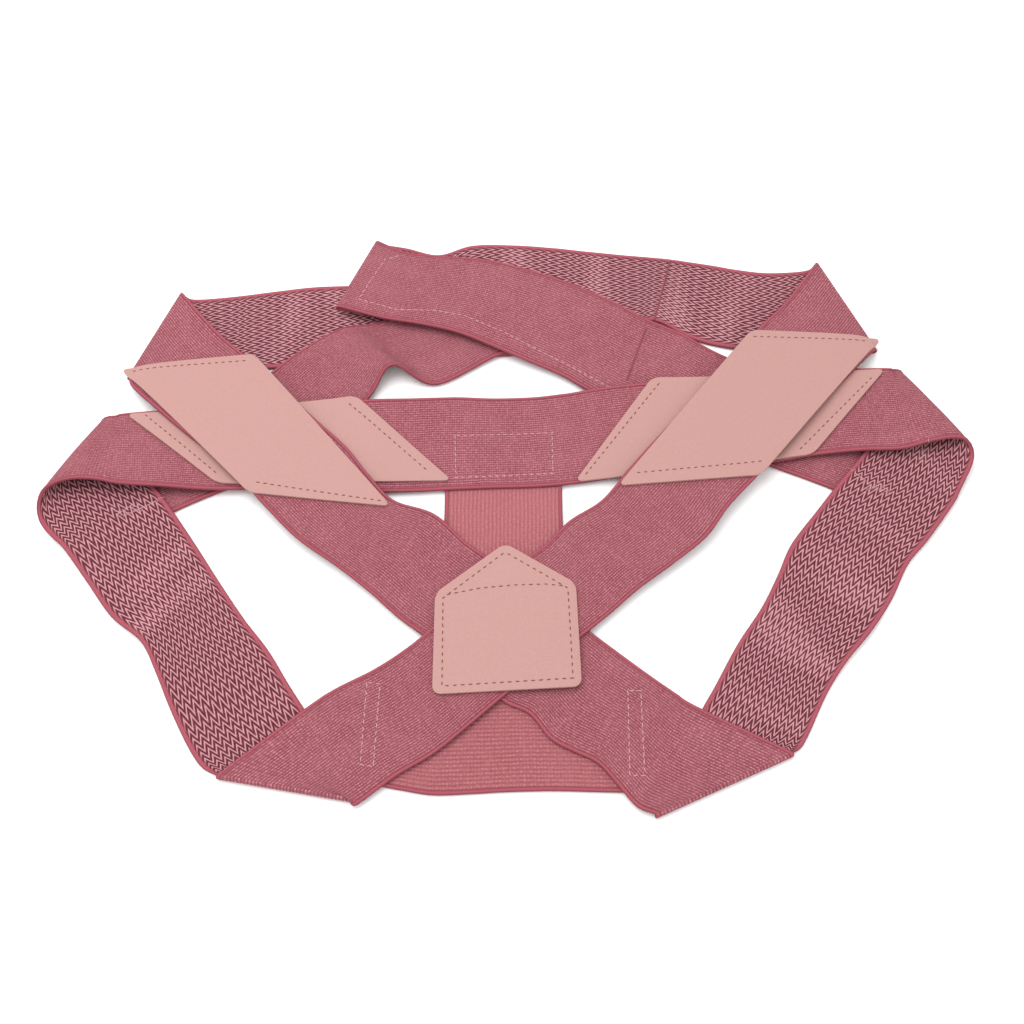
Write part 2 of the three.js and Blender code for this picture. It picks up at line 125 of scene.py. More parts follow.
# The closed loop: right shoulder, right arm turn, back band, left arm turn, left shoulder.
# x, y of the centre as shares of the spread; heights of the left and right selvedge in layers.
# A plain row then has how far each selvedge stands out from half the width, in millimetres, and
# where the strap is sheared how far each slips forward.
# A fold row has the heights before and after it, the direction of its line from the left to the
# right end in degrees, the line's length and its outward bow in millimetres.
LOOP = [
    (-0.005, -0.229, 1, 1, 0, 0),
    (0.0281, -0.2693, 1, 1, -0.7, 3.8),
    (0.0504, -0.2956, 1, 1, -1.2, 0.1),
    (0.0745, -0.3239, 1.1, 1.1, -1.5, 4.3),
    (0.0929, -0.3455, 1.2, 1.2, -1.6, 2),
    (0.1114, -0.3654, 1.2, 1.2, -2, -0.7),
    (0.1311, -0.386, 1.3, 1.3, -2.4, 2.8),
    (0.1534, -0.4077, 1.3, 1.3, -2.5, 7.8),
    (0.2006, -0.4556, 1.25, 1.25, 0, 0, -156.2, 89.1, 0),
    (0.222, -0.403, 0, 0, -3.2, -1.8, 16, 0),
    (0.242, -0.345, 0, 0, -1.5, -3.5),
    (0.265, -0.286, 0, 0.6, -2, -3.9),
    (0.29, -0.234, 0.9, 0.7, -2, -3.9),
    (0.316, -0.185, 1.3, 0, -0.2, 0.1),
    (0.34, -0.134, 0, 0, 0.6, 3.4),
    (0.366, -0.075, 0.4, 0.7, -0.9, 0.3),
    (0.393, -0.03, 0.8, 1.1, -0.8, 1.3),
    (0.42, 0.02, 1, 1.2, -0.6, 0.7),
    Turn(RIGHT_ARM_TURN, 1.2),
    (0.416, 0.146, 4.6, 3, 0.3, 0),
    (0.372, 0.146, 3.4, 2.6, -0.2, 0),
    (0.326, 0.141, 2.2, 2.2, -0.6, 0),
    (0.284, 0.136, 1.9, 1.9, 1.6, 0),
    (0.237, 0.131, 1.6, 1.8, 2.6, 0),
    (0.194, 0.125, 1.4, 2, 3.3, 0),
    (0.154, 0.12, 1.3, 2.4, 3.4, 0.2),
    (0.111, 0.111, 1.1, 2.5, 2.1, 0.4),
    (0.066, 0.097, 1, 2.4, 1, 1.1),
    (0.024, 0.091, 1, 1.4, 1.2, 1.8),
    (-0.023, 0.089, 1, 1, 1.3, 2.4),
    (-0.066, 0.089, 1, 1, 2.5, 3.3),
    (-0.107, 0.087, 1.1, 2.1, 3.1, 1.7),
    (-0.155, 0.084, 1.2, 3, 2.2, 0.8),
    (-0.198, 0.08, 1.4, 2.1, 0.1, 0),
    (-0.242, 0.076, 1.6, 1.7, -1.8, 0),
    (-0.283, 0.074, 1.8, 1.9, -3, 0),
    (-0.326, 0.072, 2.8, 2.2, -2.8, 0),
    (-0.372, 0.07, 4.2, 2.6, -4.2, -1.2),
    (-0.416, 0.065, 6.2, 3, -5.5, -2.2),
    Turn(LEFT_ARM_TURN, 1.2),
    (-0.419, -0.054, 1.4, 1.4, -0.4, 3.1),
    (-0.393, -0.105, 0.9, 0.6, -1.3, 3.3),
    (-0.365, -0.153, 0.6, 0, -0.3, 1.4),
    (-0.333, -0.197, 1.2, 0.5, -2.3, -4.4),
    (-0.306, -0.246, 0.8, 0.5, 0.8, -6),
    (-0.285, -0.297, 0, 0.2, 2.6, -2.3),
    (-0.262, -0.35, 0, 0, 3.9, -1.9),
    (-0.237, -0.408, 0, 0, 2.2, -0.9, -12, 0),
    (-0.2107, -0.4612, 0, 0, 1.25, 1.25, -9.7, 83.7, 0),
    (-0.177, -0.424, 1.3, 1.3, 0.5, -0.1),
    (-0.143, -0.384, 1.4, 1.3, -0.3, 0.5),
    (-0.108, -0.345, 1.6, 1.5, -4.5, 3),
    (-0.074, -0.309, 2, 1.9, -4.9, 1.3),
    (-0.039, -0.269, 2, 2, -2.5, -0.3),
    (-0.005, -0.229, 2, 2, 0, -0.1),
]

# The lower cross strap: crossing, left waist fold, under the tab and back to the left arm turn
LOWER_CROSS = [
    (-0.005, -0.229, 1, 1, 0, 0),
    (-0.038, -0.189, 1, 1, 1.6, -1.5),
    (-0.075, -0.145, 1.1, 1.2, 3.3, -3),
    (-0.111, -0.104, 1.8, 2.4, 1.7, -0.8),
    (-0.148, -0.071, 2.7, 3.8, -1.5, -7.1),
    (-0.184, -0.028, 3.5, 4, 0.6, -3.5),
    (-0.215, 0.017, 4, 4, 0.5, 0),
    (-0.245, 0.06, 4.4, 4.1, -0.8, 0),
    (-0.277, 0.106, 4.7, 4.2, -0.4, 0),
    (-0.312, 0.156, 4.8, 4, 2, 0),
    (-0.342, 0.201, 4.6, 3.3, 4, 0),
    (-0.372, 0.245, 3.6, 2.6, 4.5, 0),
    (-0.4032, 0.2973, 1.4, 1.3, 0, 0, 69.3, 76.8, 0),
    (-0.362, 0.303, 0, 0, 0, -2.8),
    (-0.317, 0.308, 0, 0, 0, -2.4),
    (-0.27, 0.313, 0, 0, 0, 0),
    (-0.225, 0.318, 0, 0, 0, 1.8),
    (-0.177, 0.323, 0, 0, 0, 0.9),
    (-0.132, 0.327, 0, 0, 0, 0),
    (-0.086, 0.331, 0, 0, 0, 0),
    (-0.037, 0.335, 0, 0, 0, 0),
    (0.006, 0.339, 0, 0, 0, 0),
    (0.058, 0.343, 0, 0, 1.3, 1.3, 93.3, 65, 0),
    (0.014, 0.342, 1.2, 1.2, -0.1, 0),
    (-0.032, 0.331, 1, 1.1, -0.3, 0),
    (-0.1147, 0.2643, 0.5, 1.2, -2.5, -2.5, -12.4, 12.4),
    (-0.1631, 0.2645, 6, 1.4, -8.2, -8.2, -11.5, 11.4),
    (-0.198, 0.2192, 1.4, 1.7, -2, -2, -5.8, 5.8),
    (-0.23, 0.166, 0, 1, 0, 1.3),
    (-0.269, 0.122, 0, 0.2, 0, 0.7),
    (-0.306, 0.092, 0, 0, 0, 0),
    (-0.349, 0.063, 0, 0, 0, 0),
    (-0.391, 0.031, 0, 0, 0, 0),
]

# The upper cross strap: crossing, right waist fold, tab, and back to the right arm turn
UPPER_CROSS = [
    (-0.005, -0.229, 2, 2, 0, 0),
    (0.028, -0.19, 2, 2, -1.7, -0.3),
    (0.062, -0.15, 2, 2, -3.4, -0.7),
    (0.094, -0.11, 2.5, 2.4, -1.1, -1.3),
    (0.126, -0.068, 3.3, 2.9, -4.7, 1.1),
    (0.158, -0.02, 4.2, 3.6, -2.4, 4.2),
    (0.187, 0.022, 4.2, 4.2, 0, 0.2),
    (0.216, 0.071, 4.2, 4.4, 0, 1),
    (0.243, 0.118, 4.2, 4.6, 0, 0.9),
    (0.272, 0.169, 4.2, 4.7, 0, 1),
    (0.298, 0.214, 3.9, 4.8, 0, 2.4),
    (0.325, 0.261, 3.3, 4.6, 0, 4),
    (0.355, 0.31, 2.6, 3.6, 0, 4.5),
    (0.3826, 0.3566, 1.3, 1.4, 0, 0, -67.2, 82.3, 0),
    (0.345, 0.356, 0, 0, 0.3, 0),
    (0.3, 0.351, 0, 0, 0.6, 0.1),
    (0.256, 0.352, 0, 0, 3.4, 0.1),
    (0.216, 0.363, 0, 0, 3.9, -2.6),
    (0.172, 0.383, 0.4, 0.4, -0, -9.2),
    (0.132, 0.386, 1.8, 1.8, -1.2, -4.6),
    (0.086, 0.391, 2.4, 2.4, -0.9, 0),
    (0.043, 0.398, 2.5, 2.5, -0.5, 0),
    (0, 0.403, 2.5, 2.5, -0.3, 0),
    (-0.044, 0.399, 2.6, 2.7, 0.8, 0),
    (-0.087, 0.396, 2.7, 2.8, -6.6, 0),
    (-0.129, 0.403, 2.7, 2.8, -3.3, 0),
    (-0.177, 0.4124, 2.6, 2.8, 4.2, 4.4, -112.9, 63.3, 0),
    (-0.133, 0.397, 4.1, 4.3, -6.3, 0.7),
    (-0.089, 0.381, 4, 4.1, -2.7, -1),
    (-0.046, 0.363, 3.8, 3.8, 2.6, -1.6),
    (0.001, 0.341, 3.6, 3.1, 3.6, 1.3),
    (0.041, 0.318, 3.6, 2.4, 3.2, 2.7),
    (0.082, 0.285, 3.5, 1.6, 3.7, 0.8),
    (0.118, 0.251, 2.4, 0.8, 5, 0.4),
    (0.159, 0.217, 1.4, 0.3, 7.4, 0),
    (0.198, 0.186, 0.7, 0, 5.7, 0),
    (0.244, 0.156, 0.3, 0, 2.9, 0),
    (0.285, 0.13, 0, 0, 0, 0),
    (0.325, 0.105, 0, 0, 0, 0),
    (0.368, 0.077, 0, 0, 0, 0),
    (0.392, 0.061, 0, 0, 0, 0),
]

# The wide webbing at the nape, drawn along its ribs
NAPE = [
    (-0.126, -0.3845, 0, 0, 0, -3.4),
    (-0.105, -0.3845, 0, 0, 0, -1),
    (-0.075, -0.3845, 0, 0, 0, 1.8),
    (-0.04, -0.3845, 0, 0, 0, 1.2),
    (-0.005, -0.3845, 0, 0, 0, 0),
    (0.04, -0.3845, 0, 0, 0, -0.6),
    (0.08, -0.3845, 0, 0, 0, 0),
    (0.118, -0.3845, 0, 0, 0, 0.4),
]

# Patches: corners as shares of the spread, in order round the patch
PATCHES = {
    "patch_upper_left": [
        (-0.4354, 0.2235),
        (-0.2876, 0.2466),
        (-0.1259, -0.034),
        (-0.2752, -0.0115),
    ],
    "patch_upper_right": [
        (0.4165, 0.2835),
        (0.2694, 0.2944),
        (0.1111, 0.0012),
        (0.2621, 0.0188),
    ],
    "patch_lower_left": [
        (-0.4187, 0.1327),
        (-0.3119, 0.0104),
        (-0.0636, 0.0188),
        (-0.1711, 0.1686),
    ],
    "patch_lower_right": [
        (0.4134, 0.219),
        (0.3219, 0.0627),
        (0.0668, 0.017),
        (0.1548, 0.2051),
    ],
    "patch_centre": [
        (-0.0072, -0.0931),
        (-0.0776, -0.1752),
        (-0.0774, -0.3313),
        (0.0679, -0.3194),
        (0.0647, -0.1591),
    ],
}

# Lines of stitching through each patch: points as shares of the spread
PATCH_STITCHES = {
    "patch_upper_left": [
        [(-0.4224, 0.2173), (-0.2933, 0.2329)],
        [(-0.2701, 0.006), (-0.1366, -0.0254)],
    ],
    "patch_upper_right": [
        [(0.2685, 0.2804), (0.3956, 0.2744)],
        [(0.1296, 0.0223), (0.2626, 0.0419)],
    ],
    "patch_lower_left": [
        [(-0.3994, 0.1334), (-0.3106, 0.0239)],
        [(-0.1794, 0.156), (-0.0882, 0.0328)],
    ],
    "patch_lower_right": [
        [(0.1634, 0.1962), (0.0785, 0.0292)],
        [(0.3979, 0.2042), (0.3096, 0.0728)],
    ],
    "patch_centre": [
        [
            (-0.0072, -0.1081),
            (-0.0694, -0.1833),
            (-0.068, -0.3194),
            (0.0594, -0.3074),
            (0.0565, -0.1672),
            (-0.0072, -0.1081),
        ],
        [
            (-0.0675, -0.1784),
            (-0.0323, -0.1672),
            (0.002, -0.1623),
            (0.0334, -0.1607),
            (0.0546, -0.1639),
        ],
    ],
}

# Pale stitching on the webbing: boxes that hold the wide straps, and round the tab's closure
WEBBING_STITCHES = [
    [(-0.0619, 0.1022), (0.0434, 0.1059), (0.0437, 0.0329), (-0.0597, 0.0258), (-0.0619, 0.1022)],
    [
        (-0.1416, -0.3108),
        (-0.1288, -0.3138),
        (-0.1313, -0.4331),
        (-0.1437, -0.4303),
        (-0.1416, -0.3108),
    ],
    [
        (0.1129, -0.3228),
        (0.1255, -0.3228),
        (0.1252, -0.4457),
        (0.1111, -0.4457),
        (0.1129, -0.3228),
    ],
    [
        (-0.1306, 0.4503),
        (-0.1478, 0.4416),
        (-0.1636, 0.3947),
        (-0.1748, 0.3571),
        (-0.1308, 0.3364),
        (-0.0864, 0.3353),
        (-0.0545, 0.326),
        (-0.0124, 0.2972),
        (0.0391, 0.2529),
        (0.0646, 0.2321),
        (0.1094, 0.1928),
    ],
]

# The tab's seams, below on the zigzag face and above on the ribbed face
SEAMS = [
    [(0.1861, 0.4551), (0.1742, 0.3907), (0.1626, 0.3281)],
    [(0.1523, 0.3072), (0.1394, 0.2569), (0.1278, 0.2077)],
]

# Ends of thread left on the zigzag face beside each arm turn
LOOSE_THREADS = [
    [
        (-0.42, -0.0284),
        (-0.4061, -0.0423),
        (-0.3924, -0.0319),
        (-0.3788, -0.0197),
        (-0.3672, -0.0092),
    ],
    [(-0.4127, -0.0388), (-0.3995, -0.0232), (-0.3837, -0.0353)],
    [(0.3611, 0.0423), (0.3723, 0.0244), (0.3835, 0.0084), (0.3975, -0.0004)],
    [(0.3746, 0.0031), (0.3904, 0.0137), (0.4025, -0.0039)],
    [(0.4441, 0.0804), (0.4382, 0.055)],
]

ABOVE_ALL = 0.1  # a height above every piece, from which stitches are cast down

# Stitches: pitch, length, half thickness, and how far in degrees they stray from their line
PATCH_STITCH = (0.0046, 0.0027, 0.00038, 4)
WEBBING_STITCH = (0.0044, 0.0036, 0.0003, 9)
SEAM_STITCH = (0.0018, 0.0028, 0.0007, 3)
LOOSE_STITCH = (0.0017, 0.0042, 0.00018, 42)

# Photo tones of the finishes, 0 to 255
ROSE = (217, 135, 146)
ROSE_DARK = (133, 56, 68)
ROSE_LIGHT = (230, 164, 174)
CORAL = (205, 125, 131)
CORAL_DARK = (144, 66, 78)
CORAL_LIGHT = (226, 156, 161)
CORD = (196, 98, 112)
CORD_LINE = (146, 60, 74)
ZIGZAG_YARN = (233, 167, 176)
ZIGZAG_MIDDLE = (182, 92, 104)
ZIGZAG_GROUND = (122, 50, 62)
ZIGZAG_DEEP = (88, 32, 42)
LEATHER = (212, 161, 154)
# painted highlight: a lighter tone for the patches' raised, rounded rims
LEATHER_RIM_HIGHLIGHT = (218, 168, 162)
PALE_THREAD = (236, 186, 190)
DARK_THREAD = (150, 84, 88)
LIGHT_ON_FLOOR = 1.45  # how bright the light is; the tones above are divided by it

# Light and camera
FLOOR_WHITE = (0.97, 0.97, 0.97, 1)
FLOOR_DROP = 0.0003
SKY_STRENGTH = 1.12
LAMP_SIZE = 1.2
LAMP_POWER = 11.0
LAMP_PLACE = (-0.4, 0.25, 1.3)
CAMERA_PLACE = (0.0001, -0.3860, 0.7033)
CAMERA_TILT = 28  # degrees from straight down
LENS = 43.95
SENSOR = 36.0

# Weave, in metres
RIB = 0.0016
PICK = 0.0015
COARSE_RIB = 0.0025
COARSE_PICK = 0.002
TOOTH = 0.0046  # zigzag period across the strap
TOOTH_DEPTH = 0.0070
YARN_SPACING = 0.0062
BUNCHING = 0.012  # how far the rows of yarn drift along the strap
YARN_REACH = 0.4  # half breadth of a pale yarn as a share of half the spacing
RIBBED_CORD = 0.0017  # breadth of the edge cord on each face
ZIGZAG_CORD = 0.0027
CORD_TWIST = 0.0019


Row = namedtuple("Row", "left right station bend")
Strap = namedtuple("Strap", "rows along bows width")


def plan_of(x, y):
    """A plan point in metres from shares of the spread."""
    return Vector((x * SPAN + MIDDLE_X, y * DEPTH + MIDDLE_Y))


def quarter_turn(v):
    """A plan vector turned clockwise to its right-hand side."""
    return Vector((v.y, -v.x))


def height_of(layers):
    """The height of a webbing's middle surface that lies on so many layers."""
    return THICKNESS / 2 + layers * LAYER


def row_at(centre, across, left, right, station, bend=False):
    """A row from its centre, the half vector across it and the heights of its ends."""
    return Row(
        Vector((centre.x - across.x, centre.y - across.y, height_of(left))),
        Vector((centre.x + across.x, centre.y + across.y, height_of(right))),
        station,
        bend,
    )


def bend_rows(centre, across, outward, station, place):
    """The rows round a fold: half a turn about the fold line."""
    left, right, out_left, out_right = station[2:6]
    rows = []
    for i in range(BEND_STEPS + 1):
        angle = math.pi * i / BEND_STEPS
        ends = []
        for before, after in ((left, out_left), (right, out_right)):
            reach = abs(after - before) / 2 * LAYER * math.sin(angle)
            layers = (before + after) / 2 + (before - after) / 2 * math.cos(angle)
            ends.append((reach, layers))
        row = row_at(centre, across, ends[0][1], ends[1][1], place, True)
        for point, (reach, _) in zip((row.left, row.right), ends):
            point.x += outward.x * reach
            point.y += outward.y * reach
        rows.append(row)
    return rows


def middle_of(station):
    """The plan point at the middle of a station."""
    if not isinstance(station, Turn):
        return plan_of(station[0], station[1])
    ends = station.rows[len(station.rows) // 2]
    return (plan_of(ends[0], ends[1]) + plan_of(ends[3], ends[4])) / 2


def turn_rows(turn, place):
    """The rows of an open turn, spread over one station's number."""
    rows = []
    for k, (x, y, left, far_x, far_y, right) in enumerate(turn.rows):
        ends = [(plan_of(x, y), left), (plan_of(far_x, far_y), right)]
        points = [Vector((*spot, height_of(layers))) for spot, layers in ends]
        rows.append(Row(*points, place - 0.4 + 0.8 * k / len(turn.rows), False))
    return rows


def station_legs(stations, width):
    """Rows at the stations, leg by leg from one fold to the next, and the folds' bows."""
    at = [middle_of(station) for station in stations]
    legs = [[]]
    bows = []
    turned = 1  # -1 where the strap lies on its other face
    for i, station in enumerate(stations):
        into = (at[i] - at[max(i - 1, 0)]).normalized()
        out = (at[min(i + 1, len(at) - 1)] - at[i]).normalized()
        if isinstance(station, Turn):
            rows = turn_rows(station, i)
            legs[-1] += rows
            middle = rows[len(rows) // 2]
            fold_line = quarter_turn((middle.right - middle.left).xy.normalized())
            outward = fold_line if fold_line.dot(into - out) > 0 else -fold_line
            bows.append((i, outward, station.bow * MM))
            turned = -turned
            continue
        if len(station) < FOLD_COLUMNS:
            left_out, right_out, left_slip, right_slip = (station[4:] + (0, 0))[:4]
            travel = (into + out).normalized()
            side = quarter_turn(travel) * turned
            row = row_at(at[i], side * (width / 2), station[2], station[3], i)
            row.left.xy += (travel * left_slip - side * left_out) * MM
            row.right.xy += (travel * right_slip + side * right_out) * MM
            legs[-1].append(row)
            continue
        outward = (into - out).normalized()
        angle, length, bow = station[6:]
        half = length * MM / 2
        line = Vector((math.cos(math.radians(angle)), math.sin(math.radians(angle)))) * half
        rows = bend_rows(at[i], line, outward, station, i)
        legs[-1].append(rows[0])
        legs.append(rows)
        legs.append([rows[-1]])
        bows.append((i, outward, bow * MM))
        turned = -turned
    return legs, bows


def steady_slopes(values):
    """Slopes that keep a curve through the values from overshooting them."""
    step = [b - a for a, b in zip(values, values[1:])]
    slopes = [step[0]]
    for before, after in zip(step, step[1:]):
        slopes.append(2 * before * after / (before + after) if before * after > 0 else 0.0)
    return slopes + [step[-1]]


def even_slopes(values):
    """Slopes of a smooth curve that passes through the values."""
    last = len(values) - 1
    ends = [(max(i - 1, 0), min(i + 1, last)) for i in range(last + 1)]
    return [(values[b] - values[a]) / (b - a) for a, b in ends]


def smooth_leg(leg):
    """Close rows between the stations of one leg."""
    if leg[0].bend and leg[-1].bend and len(leg) == BEND_STEPS + 1:
        return leg[1:-1]
    curves = []
    for side in ("left", "right"):
        for axis in range(3):
            values = [getattr(row, side)[axis] for row in leg]
            slopes = steady_slopes(values) if axis == 2 else even_slopes(values)
            curves.append((values, slopes))

    def point(side, i, t):
        found = []
        for values, slopes in curves[3 * side : 3 * side + 3]:
            rise = values[i + 1] - values[i]
            bulge = (1 - t) * (slopes[i] - rise) - t * (slopes[i + 1] - rise)
            found.append(values[i] + rise * t + t * (1 - t) * bulge)
        return Vector(found)

    rows = []
    for i, (row, after) in enumerate(zip(leg, leg[1:])):
        length = ((row.left + row.right) / 2 - (after.left + after.right) / 2).length
        count = max(2, math.ceil(length / ROW_STEP))
        for k in range(count):
            station = row.station + (after.station - row.station) * k / count
            rows.append(Row(point(0, i, k / count), point(1, i, k / count), station, False))
    return rows + [leg[-1]]


def make_strap(stations, width=WIDTH):
    """A strap through its stations, with the length run at each row."""
    legs, folds = station_legs(stations, width)
    rows = [row for leg in legs for row in smooth_leg(leg)]
    along = [0.0]
    for row, after in zip(rows, rows[1:]):
        step = ((row.left + row.right) / 2 - (after.left + after.right) / 2).length
        along.append(along[-1] + step)

    def place(station):
        for i, row in enumerate(rows):
            if row.station >= station:
                return along[i]
        return along[-1]

    bows = [(place(i), outward, bow) for i, outward, bow in folds if bow]
    return Strap(rows, along, bows, width)


def strap_point(strap, i, u):
    """The middle surface of a strap at row i and share u across."""
    row = strap.rows[i]
    here = strap.along[i]
    point = row.left.lerp(row.right, u)
    inside = min(max(u, 0.0), 1.0)
    for place, outward, bow in strap.bows:
        fade = math.exp(-(((here - place) / BOW_FADE) ** 2))
        reach = bow * 4 * inside * (1 - inside) * fade
        point.x += outward.x * reach
        point.y += outward.y * reach
    point.z = max(point.z, BEAD_THICKNESS / 2)
    return point


def column_places(width):
    """Places across a strap as shares, and the share of full thickness at each."""
    edge = [(d / width, share) for d, share in SELVEDGE_PROFILE]
    low, high = edge[-1][0], 1 - edge[-1][0]
    inner = [low + (high - low) * k / INNER_COLUMNS for k in range(1, INNER_COLUMNS)]
    flat = edge[-1][1]
    return edge + [(u, flat) for u in inner] + [(1 - u, share) for u, share in reversed(edge)]


def new_object(name, bm, materials):
    """Makes a finished bmesh into a smooth-shaded object of the scene."""
    mesh = bpy.data.meshes.new(name)
    bm.to_mesh(mesh)
    bm.free()
    for material in materials:
        mesh.materials.append(material)
    mesh.polygons.foreach_set("use_smooth", [True] * len(mesh.polygons))
    obj = bpy.data.objects.new(name, mesh)
    bpy.context.collection.objects.link(obj)
    return obj


def weave_map(bm, places):
    """Lays the weave's own map: metres across and along for each vertex."""
    layer = bm.loops.layers.uv.new("weave")
    for face in bm.faces:
        for loop in face.loops:
            loop[layer].uv = places[loop.vert]


def strap_piece(name, strap, materials):
    """A strap as a grid drawn along its rows, thickened with a bead at each selvedge."""
    columns = column_places(strap.width)
    last_row, last_column = len(strap.rows) - 1, len(columns) - 1
    bm = bmesh.new()
    bmesh.ops.create_grid(bm, x_segments=last_column, y_segments=last_row, size=1.0)
    weights = bm.verts.layers.deform.verify()
    places = {}
    for vert in bm.verts:
        c = round((vert.co.x + 1) / 2 * last_column)
        r = round((vert.co.y + 1) / 2 * last_row)
        u, share = columns[c]
        vert.co = strap_point(strap, r, u)
        vert[weights][0] = min(share, PRESSED_BEAD) if strap.rows[r].bend else share
        places[vert] = (u * strap.width, strap.along[r])
    weave_map(bm, places)
    obj = new_object(name, bm, materials)
    obj.vertex_groups.new(name="thickness")
    wall = obj.modifiers.new("wall", "SOLIDIFY")
    wall.thickness = BEAD_THICKNESS
    wall.offset = 0.0
    wall.vertex_group = "thickness"
    wall.material_offset = len(materials) - 1
    return obj


def straight_strap(start, end, width):
    """A flat strap between two plan points, lying on the floor."""
    across = quarter_turn((end - start).normalized()) * (width / 2)
    count = math.ceil((end - start).length / ROW_STEP)
    centres = [start.lerp(end, k / count) for k in range(count + 1)]
    rows = [row_at(c, across, 0, 0, k) for k, c in enumerate(centres)]
    along = [(c - start).length for c in centres]
    return Strap(rows, along, [], width)


def leg_rows(strap, first, last):
    """The row numbers of a strap between two stations."""
    return [i for i, row in enumerate(strap.rows) if first <= row.station <= last]


def height_on(strap, numbers, point):
    """The height of a strap's middle surface at a plan point, carried on past its selvedges."""

    def side(i):
        row = strap.rows[i]
        run = row.right - row.left
        return run.x * (point.y - row.left.y) - run.y * (point.x - row.left.x)

    k = 0
    start = side(numbers[0])
    while k + 2 < len(numbers) and side(numbers[k + 1]) * start > 0:
        k += 1
    a, b = numbers[k], numbers[k + 1]
    near, far = side(a), side(b)
    share = min(max(near / (near - far), 0.0), 1.0) if near != far else 0.0
    left = strap.rows[a].left.lerp(strap.rows[b].left, share)
    run = strap.rows[a].right.lerp(strap.rows[b].right, share) - left
    u = ((point.x - left.x) * run.x + (point.y - left.y) * run.y) / (run.x**2 + run.y**2)
    u = min(max(u, -OVERHANG), 1 + OVERHANG)
    return strap_point(strap, a, u).z * (1 - share) + strap_point(strap, b, u).z * share


def patch_piece(name, corners, height, materials):
    """A leatherette patch: its outline cut from a face, rounded, and laid over what is below."""
    bm = bmesh.new()
    verts = [bm.verts.new((*plan_of(x, y), 0.0)) for x, y in corners]
    bm.faces.new(verts)
    bmesh.ops.recalc_face_normals(bm, faces=bm.faces)
    if bm.faces[:][0].normal.z < 0:
        bmesh.ops.reverse_faces(bm, faces=bm.faces)
    bmesh.ops.bevel(
        bm,
        geom=bm.verts[:],
        offset=PATCH_RADIUS,
        affect="VERTICES",
        segments=CORNER_SEGMENTS,
        profile=0.5,
        material=-1,
    )
    xs = [v.co.x for v in bm.verts]
    ys = [v.co.y for v in bm.verts]
    cuts = [((x, 0, 0), (1, 0, 0)) for x in steps(min(xs), max(xs), PATCH_MESH)]
    cuts += [((0, y, 0), (0, 1, 0)) for y in steps(min(ys), max(ys), PATCH_MESH)]
    for place, normal in cuts:
        geom = bm.verts[:] + bm.edges[:] + bm.faces[:]
        bmesh.ops.bisect_plane(bm, geom=geom, plane_co=place, plane_no=normal)
    places = {}
    for vert in bm.verts:
        places[vert] = (vert.co.x, vert.co.y)
        vert.co.z = height(vert.co)
    weave_map(bm, places)
    obj = new_object(name, bm, materials)
    wall = obj.modifiers.new("wall", "SOLIDIFY")
    wall.thickness = PATCH_THICKNESS
    wall.offset = 1.0
    # the rims take the second, lighter material: a painted highlight on the raised edge
    wall.material_offset_rim = 1
    rounding = obj.modifiers.new("rounding", "BEVEL")
    rounding.width = PATCH_ROUNDING
    rounding.segments = 3
    rounding.limit_method = "ANGLE"
    rounding.angle_limit = math.radians(50)
    return obj


def spaced(line, pitch):
    """Places a pitch apart along a line of plan points, each with its heading."""
    places = []
    left_over = pitch / 2
    for start, end in zip(line, line[1:]):
        run = end - start
        heading = run.normalized()
        while left_over < run.length:
            places.append((start + heading * left_over, heading))
            left_over += pitch
        left_over -= run.length
    return places


def tree_of(piece):
    """A piece's finished surface, ready for casting onto."""
    return BVHTree.FromObject(piece, bpy.context.evaluated_depsgraph_get())


def topmost(trees, place):
    """The highest point of some pieces above a plan point, and the way it faces."""
    best = None
    for tree in trees:
        hit, normal, _, _ = tree.ray_cast(Vector((place.x, place.y, ABOVE_ALL)), Vector((0, 0, -1)))
        if hit and (best is None or hit.z > best[0].z):
            best = (hit, normal)
    return best


def stitch_piece(name, lines, grounds, size, material):
    """Stitches as small rounded bars laid along lines on top of some pieces."""
    pitch, length, half, stray = size
    trees = [tree_of(ground) for ground in grounds]
    bm = bmesh.new()
    for line in lines:
        points = [plan_of(x, y) for x, y in line]
        for place, heading in spaced(points, pitch):
            found = topmost(trees, place)
            if found is None:
                continue
            hit, up = found
            tilt = Matrix.Rotation(math.radians(random.gauss(0, stray)), 2)
            forward = Vector((*(tilt @ heading), 0.0))
            forward = (forward - up * forward.dot(up)).normalized()
            side = up.cross(forward)
            basis = Matrix((forward, side, up)).transposed().to_4x4()
            reach = length / 2 * random.uniform(0.85, 1.1)
            shape = Matrix.Translation(hit) @ basis @ Matrix.Diagonal((reach, half, half, 1))
            bmesh.ops.create_uvsphere(bm, u_segments=8, v_segments=6, radius=1.0, matrix=shape)
    piece = new_object(name, bm, [material])
    pieces.append(piece)
    return piece


def steps(low, high, step):
    """Places of the cuts between two ends, a step apart."""
    count = math.floor((high - low) / step)
    return [low + (k + 0.5) * step for k in range(count)]


def tone(rgb):
    """A photo tone as the colour a surface needs under this scene's light."""
    linear = [((c / 255 + 0.055) / 1.055) ** 2.4 for c in rgb]
    return (*[c / LIGHT_ON_FLOOR for c in linear], 1.0)


